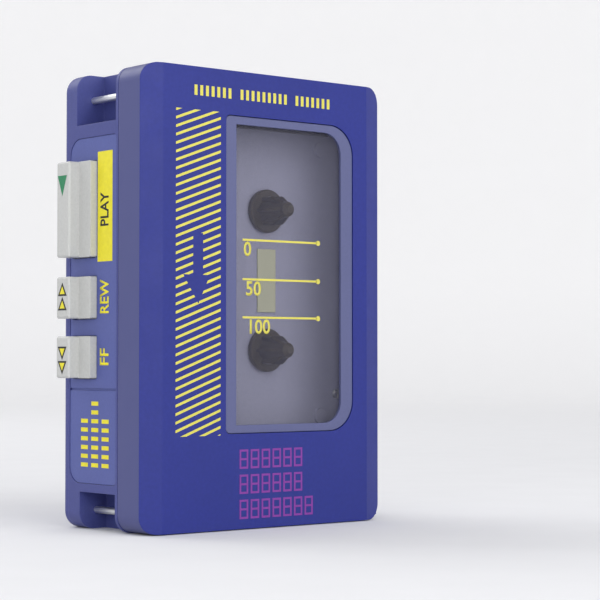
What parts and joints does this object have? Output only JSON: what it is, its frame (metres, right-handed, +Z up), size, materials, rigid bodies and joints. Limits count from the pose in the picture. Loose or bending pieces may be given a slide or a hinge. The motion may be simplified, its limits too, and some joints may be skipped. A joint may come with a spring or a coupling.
{
  "type": "personal cassette player",
  "caption": "Upright personal stereo cassette player with a hinged window door, side keys, tape drive, strap lugs and a battery bay.",
  "frame": {"origin": "on the surface it stands on, under the middle of the casing", "axes": "+X to the right along the door, -Y out of the door, +Z up"},
  "size_m": [0.0967, 0.042, 0.1364],
  "materials": {
    "front_indigo": "satin",
    "case_violet": "satin",
    "frame_grey": "satin",
    "window": "smoked, polished",
    "key_grey": "satin",
    "deck_grey": "fine grain",
    "sight_grey": "matt",
    "spindle_brown": "satin",
    "gear_white": "satin",
    "steel": "zinc plated",
    "bright_steel": "bright",
    "bronze": "sintered",
    "black_plastic": "matt",
    "black_rubber": "matt",
    "board": "laminate",
    "lamp_red": "clear"
  },
  "bodies": {
    "chassis": {"mid_case": "case_violet", "rear_cover": "case_violet", "side_panel": "case_violet", "strap_bars": "bright_steel", "hinge_pins": "bright_steel", "deck_plate": "deck_grey", "sight_plate": "sight_grey", "chassis_plate": "steel", "reel_posts": "bright_steel", "idler_post": "steel", "capstan_bearing": "bronze", "motor": "steel", "motor_bracket": "steel", "drive_belt": "black_rubber", "flywheel_bridge": "steel", "plate_guide_pins": "steel", "arm_post": "steel", "key_guide": "steel", "battery_tray": "black_plastic", "battery_contacts": "steel", "circuit_board": "board", "board_parts": "black_plastic", "headphone_jack": "black_plastic", "jack_nut": "bright_steel", "power_jack": "black_plastic", "power_lamp": "lamp_red", "switch_body": "black_plastic", "volume_pot": "steel", "deck_screws": "steel", "rear_screws": "steel", "play_key_spring": "steel", "rew_key_spring": "steel", "ff_key_spring": "steel"},
    "door": {"front_door": "front_indigo", "window_frame": "frame_grey", "window_pane": "window", "cassette_holder_low": "deck_grey", "cassette_holder_high": "deck_grey"},
    "play": {"play_key": "key_grey"},
    "rewind": {"rew_key": "key_grey"},
    "forward": {"ff_key": "key_grey"},
    "stop": {"stop_key": "key_grey", "eject_latch": "steel"},
    "heads": {"head_plate": "steel", "playback_head": "bright_steel"},
    "roller_arm": {"pinch_arm": "steel"},
    "roller": {"pinch_roller": "black_rubber"},
    "supply": {"supply_spindle": "spindle_brown", "supply_gear": "gear_white"},
    "takeup": {"takeup_spindle": "spindle_brown", "takeup_gear": "gear_white"},
    "idler": {"idler_gear": "gear_white"},
    "capstan": {"flywheel": "steel", "capstan_shaft": "bright_steel", "capstan_pinion": "bronze"},
    "rotor": {"motor_shaft": "bright_steel", "motor_pulley": "bronze"},
    "volume": {"volume_wheel": "black_plastic"},
    "tape_type": {"tape_switch": "black_plastic"},
    "lid": {"battery_lid": "case_violet"}
  },
  "joints": [
    {"name": "door_hinge", "type": "hinge", "parent": "chassis", "child": "door", "pos_m": [0.041, -0.01225, 0.067], "axis": [0, 0, 1], "range_deg": [0, 85]},
    {"name": "play_key_press", "type": "slide", "parent": "chassis", "child": "play", "axis": [1, 0, 0], "range_m": [0, 0.005], "stiffness_N_per_m": 300, "springref_m": -0.003, "deforming": ["play_key_spring"]},
    {"name": "rew_key_press", "type": "slide", "parent": "chassis", "child": "rewind", "axis": [1, 0, 0], "range_m": [0, 0.005], "stiffness_N_per_m": 300, "springref_m": -0.003, "deforming": ["rew_key_spring"]},
    {"name": "ff_key_press", "type": "slide", "parent": "chassis", "child": "forward", "axis": [1, 0, 0], "range_m": [0, 0.005], "stiffness_N_per_m": 300, "springref_m": -0.003, "deforming": ["ff_key_spring"]},
    {"name": "stop_key_press", "type": "slide", "parent": "chassis", "child": "stop", "axis": [0, 0, -1], "range_m": [0, 0.003], "stiffness_N_per_m": 300, "springref_m": -0.003},
    {"name": "head_plate_slide", "type": "slide", "parent": "chassis", "child": "heads", "axis": [1, 0, 0], "range_m": [0, 0.005]},
    {"name": "pinch_arm_swing", "type": "hinge", "parent": "chassis", "child": "roller_arm", "pos_m": [-0.03144, 0, 0.03599], "axis": [0, 1, 0], "range_deg": [0, 25.3]},
    {"name": "pinch_roller_spin", "type": "hinge", "parent": "roller_arm", "child": "roller", "pos_m": [-0.02882, 0, 0.0535], "axis": [0, 1, 0], "continuous": true},
    {"name": "flywheel_spin", "type": "hinge", "parent": "chassis", "child": "capstan", "pos_m": [-0.01594, 0, 0.0507], "axis": [0, 1, 0], "continuous": true},
    {"name": "idler_spin", "type": "hinge", "parent": "chassis", "child": "idler", "pos_m": [-0.00696, 0, 0.05128], "axis": [0, 1, 0], "continuous": true},
    {"name": "takeup_spin", "type": "hinge", "parent": "chassis", "child": "takeup", "pos_m": [0.011, 0, 0.05245], "axis": [0, 1, 0], "continuous": true},
    {"name": "motor_spin", "type": "hinge", "parent": "chassis", "child": "rotor", "pos_m": [0.031, 0, 0.0737], "axis": [0, 1, 0], "continuous": true},
    {"name": "supply_spin", "type": "hinge", "parent": "chassis", "child": "supply", "pos_m": [0.011, 0, 0.09495], "axis": [0, 1, 0], "continuous": true},
    {"name": "volume_turn", "type": "hinge", "parent": "chassis", "child": "volume", "pos_m": [0.0382, 0, 0.106], "axis": [0, 1, 0], "range_deg": [-150, 150]},
    {"name": "tape_switch_slide", "type": "slide", "parent": "chassis", "child": "tape_type", "axis": [0, 0, 1], "range_m": [0, 0.003]},
    {"name": "battery_lid_hinge", "type": "hinge", "parent": "chassis", "child": "lid", "pos_m": [0, 0.0197, 0.0336], "axis": [1, 0, 0], "range_deg": [0, 90]}
  ],
  "couplings": [
    {"joint": "head_plate_slide", "follows": "play_key_press", "ratio": 1},
    {"joint": "pinch_arm_swing", "follows": "play_key_press", "rad_per_m": 88.314},
    {"joint": "idler_spin", "follows": "flywheel_spin", "ratio": -0.66667},
    {"joint": "takeup_spin", "follows": "flywheel_spin", "ratio": 0.28571},
    {"joint": "motor_spin", "follows": "flywheel_spin", "ratio": 6.1667}
  ]
}
